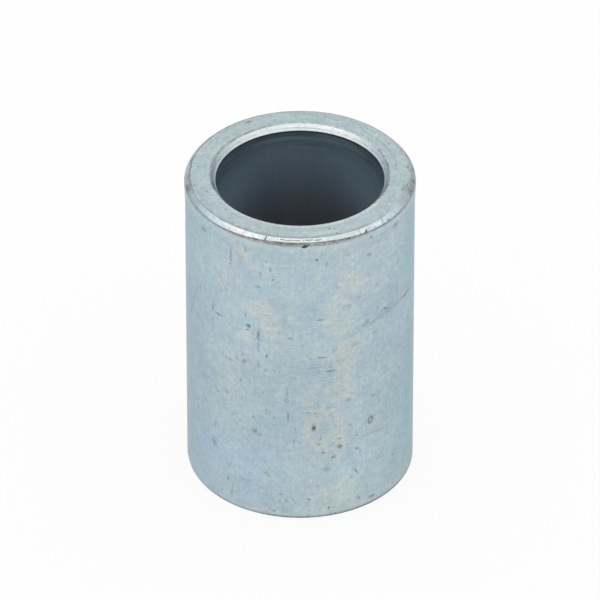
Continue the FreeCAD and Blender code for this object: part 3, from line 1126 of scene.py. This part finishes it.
# %% [markdown]
# Three thin dark lines run along the rim, too thin to paint on the mesh's points: one where
# the cut ends and the torn facet begins, a short wavy one on the cut at the front, where the
# tool chattered, and a faint one on the flat face's own edge. The first and the last are
# wider and softer at the sides.

# %% Lines on the rim
TEAR_LINE_BELOW = 0.57
CHATTER_BELOW = 0.27

below = length - z
at_side = zinc.ease(abs(x) / radius, 0.08, 0.75)
on_rim = zinc.ease(radius, face_edge + 0.02, face_edge + 0.08)
tear_line = abs(below - at_side * 0.26 - TEAR_LINE_BELOW - mottle * 0.20 - grain * 0.16)
tear_line = 1 - zinc.ease(tear_line, 0.02, 0.09 + at_side * 0.11)
tear_line = tear_line * (0.72 + blotches * 1.2 + mottle * 0.6 + grain * 0.5 - at_side * 0.30)
chatter = zinc.cloud(zinc.vector(x * 0.9, 0.0, 0.0), 1.0, 1.0)
broken = zinc.ease(zinc.cloud(zinc.vector(x * 2.4, 0.0, 7.0), 1.0, 1.0), -0.20, 0.02)
at_front = (1 - zinc.ease(abs(x), 2.8, 3.6)) * zinc.ease(y * -1.0, 10.0, 12.0)
chatter_line = (1 - zinc.ease(abs(below + chatter * 0.25 - CHATTER_BELOW), 0.02, 0.11)) * at_front * broken
chatter_line = chatter_line * (0.78 + grain) * zinc.ease(abs(x - 0.25), 0.08, 0.25)
edge_line = abs(radius - face_edge - mottle * 0.10 - grain * 0.10)
edge_line = 1 - zinc.ease(edge_line, 0.02, 0.14 + at_side * 0.10)
edge_line = edge_line * (0.38 + blotches * 1.2 - at_side * 0.06)
edge_line = edge_line * (1 - zinc.ease(x / radius, 0.62, 0.85))
rim_lines = (tear_line + chatter_line) * on_rim + edge_line * zinc.ease(z, length - 0.10, length - 0.02)
print("with the rim's lines,", len(zinc.tree.nodes), "nodes so far")

# %% [markdown]
# Dirt is laid over the metal last, together with the painted shade that shares its number.
# Where it was painted faintly, the grain breaks it into specks, and where it is thick it turns
# from grey or brown to black.

# %% Lay the dirt and painted shade over it
# These dirt colours also carry painted shade, from the same painted number.
grey_dirt_and_shade = (0.155, 0.205, 0.230, 1)
brown_dirt_and_shade = (0.235, 0.212, 0.188, 1)
black_dirt_and_shade = (0.055, 0.06, 0.06, 1)
line_grey = (0.150, 0.155, 0.155, 1)

dirt_and_shade_amount = zinc.painted("grime")
tone = zinc.mix(tone, bore_tone, in_bore)
dirt_and_shade_tone = zinc.mix(grey_dirt_and_shade, brown_dirt_and_shade, zinc.painted("rust"))
dirt_and_shade_tone = zinc.mix(dirt_and_shade_tone, black_dirt_and_shade, zinc.ease(dirt_and_shade_amount, 0.75, 1.3))
dirt_and_shade_share = zinc.ease(dirt_and_shade_amount + fleck * 0.45 + grain * dirt_and_shade_amount * 1.3, 0.03, 1.0)
tone = zinc.mix(tone, dirt_and_shade_tone, dirt_and_shade_share)
tone = zinc.mix(tone, line_grey, rim_lines)
print("with the dirt,", len(zinc.tree.nodes), "nodes so far")

# %% [markdown]
# Bump adds only the finest scratches, which are too thin for the mesh. The bore is dull and
# only partly a mirror, because the bath hardly reached it: an inside wall that was all mirror
# would show nothing but its own darkness.

# %% Put the plate's shader together
PLATE_ROUGHNESS = 0.37
SPECULAR_TINT = (0.72, 0.75, 0.79, 1)

roughness = PLATE_ROUGHNESS + lines * 0.10 + dirt_and_shade_share * 0.15 - worn_and_highlit * 0.10 + in_hole * 0.08
metal = 1 - in_bore * 0.15 - in_hole * 0.25 - in_lead * 0.35 - dirt_and_shade_share * 0.35
height = round_lines * 0.006 + drawn_lines * 0.005 + grain * 0.004 - fleck * 0.01 - round_dashes * 0.002
relief = zinc.node("ShaderNodeBump", None, {"Strength": 1.0, "Distance": MM, "Height": height})["Normal"]

skin = zinc.node("ShaderNodeBsdfPrincipled", None, {
    "Base Color": tone, "Metallic": metal, "Roughness": roughness, "Normal": relief,
    "Specular Tint": SPECULAR_TINT})
zinc.node("ShaderNodeOutputMaterial", None, {"Surface": skin[0]})
mesh.materials.append(plate)
print("zinc plate has", len(zinc.tree.nodes), "nodes")

# %% [markdown]
# ## Floor, light and camera
#
# A white table that keeps the tube's soft shadow stands in for the studio. Part of its
# colour is its own glow for the camera and for reflections, so it reads as paper white.

# %% Lay the floor
FLOOR_RADIUS = 2.0
OWN_GLOW = 0.88
disc = bmesh.new()
bmesh.ops.create_circle(disc, cap_ends=True, radius=FLOOR_RADIUS, segments=96)
floor_mesh = bpy.data.meshes.new("floor")
disc.to_mesh(floor_mesh)
disc.free()
floor = bpy.data.objects.new("floor", floor_mesh)
bpy.context.scene.collection.objects.link(floor)

paper = Finish(bpy.data.materials.new("white_paper"))
rays = paper.node("ShaderNodeLightPath")
seen = rays["Is Camera Ray"]
for ray in ("Is Glossy Ray", "Is Transmission Ray"):
    seen = seen.maths("MAXIMUM", seen, rays[ray])
matt = paper.node("ShaderNodeBsdfDiffuse", None, {"Color": (0.9, 0.9, 0.9, 1)})[0]
glow = paper.node("ShaderNodeEmission", None, {"Color": (1, 1, 1, 1), "Strength": 1.0})[0]
both = paper.node("ShaderNodeMixShader", None, {0: seen * OWN_GLOW, 1: matt, 2: glow})[0]
paper.node("ShaderNodeOutputMaterial", None, {"Surface": both})
floor_mesh.materials.append(bpy.data.materials["white_paper"])
print("floor", 2 * FLOOR_RADIUS, "m across")

# %% [markdown]
# The light is a pale studio: a bright ceiling that fades to a darker horizon, with a little
# more of it on the camera's side, and one soft lamp above the camera that the chamfer
# reflects.

# %% Light the studio
HORIZON_LEVEL = 0.43
CEILING_ADDS = 0.57
FRONT_ADDS = 0.18

scene = bpy.context.scene
scene.world = bpy.data.worlds.new("studio")
studio = Finish(scene.world)
direction = studio.node("ShaderNodeTexCoord")["Generated"]
sky = studio.node("ShaderNodeSeparateXYZ", None, {0: direction})
ceiling = studio.ease(sky["Z"], -0.02, 0.48)
front = studio.ease(sky["Y"] * -1.0, 0.0, 0.5)
level = HORIZON_LEVEL + ceiling * CEILING_ADDS + front * ceiling * FRONT_ADDS
backdrop = studio.node("ShaderNodeBackground", None, {"Color": (1, 1, 1, 1), "Strength": level})[0]
studio.node("ShaderNodeOutputWorld", None, {"Surface": backdrop})


def soft_lamp(name, azimuth, elevation, distance, size, power):
    """A square lamp that looks at the tube. Azimuth 0 is on the camera's side, and 90 to the right."""
    data = bpy.data.lights.new(name, "AREA")
    data.shape = "SQUARE"
    data.size = size
    data.energy = power
    lamp = bpy.data.objects.new(name, data)
    turn, rise = math.radians(azimuth), math.radians(elevation)
    away = Vector((math.sin(turn) * math.cos(rise), -math.cos(turn) * math.cos(rise), math.sin(rise)))
    middle = Vector((0, 0, length * MM / 2))
    lamp.location = middle + away * distance
    lamp.rotation_euler = away.to_track_quat("Z", "Y").to_euler()
    scene.collection.objects.link(lamp)


soft_lamp("key_lamp", azimuth=0, elevation=56, distance=0.9, size=0.5, power=0.12)
print("lamps", [light.name for light in bpy.data.lights])

# %% [markdown]
# The tube was photographed from above its front with a long lens, far away, so that its two
# ends look nearly as wide as each other. The place, the aim and the lens were fitted
# together to the edges in the picture.

# %% Set the camera
CAMERA_PLACE = Vector((0, -1.0786, 0.8116))
AIM = Vector((0, 0, 0.02877))
SENSOR_WIDTH = 36
LENS = 522.0

camera = bpy.data.objects.new("camera", bpy.data.cameras.new("camera"))
scene.collection.objects.link(camera)
camera.location = CAMERA_PLACE
camera.rotation_euler = (AIM - CAMERA_PLACE).to_track_quat("-Z", "Y").to_euler()
camera.data.sensor_width = SENSOR_WIDTH
camera.data.lens = LENS
camera.data.clip_start = 0.05
camera.data.clip_end = 10
scene.camera = camera
scene.view_settings.view_transform = "Standard"
print("camera", round((AIM - CAMERA_PLACE).length, 3), "m away")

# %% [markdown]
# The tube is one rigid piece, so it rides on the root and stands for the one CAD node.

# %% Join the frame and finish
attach(tube, "root")
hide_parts("spacer_tube")
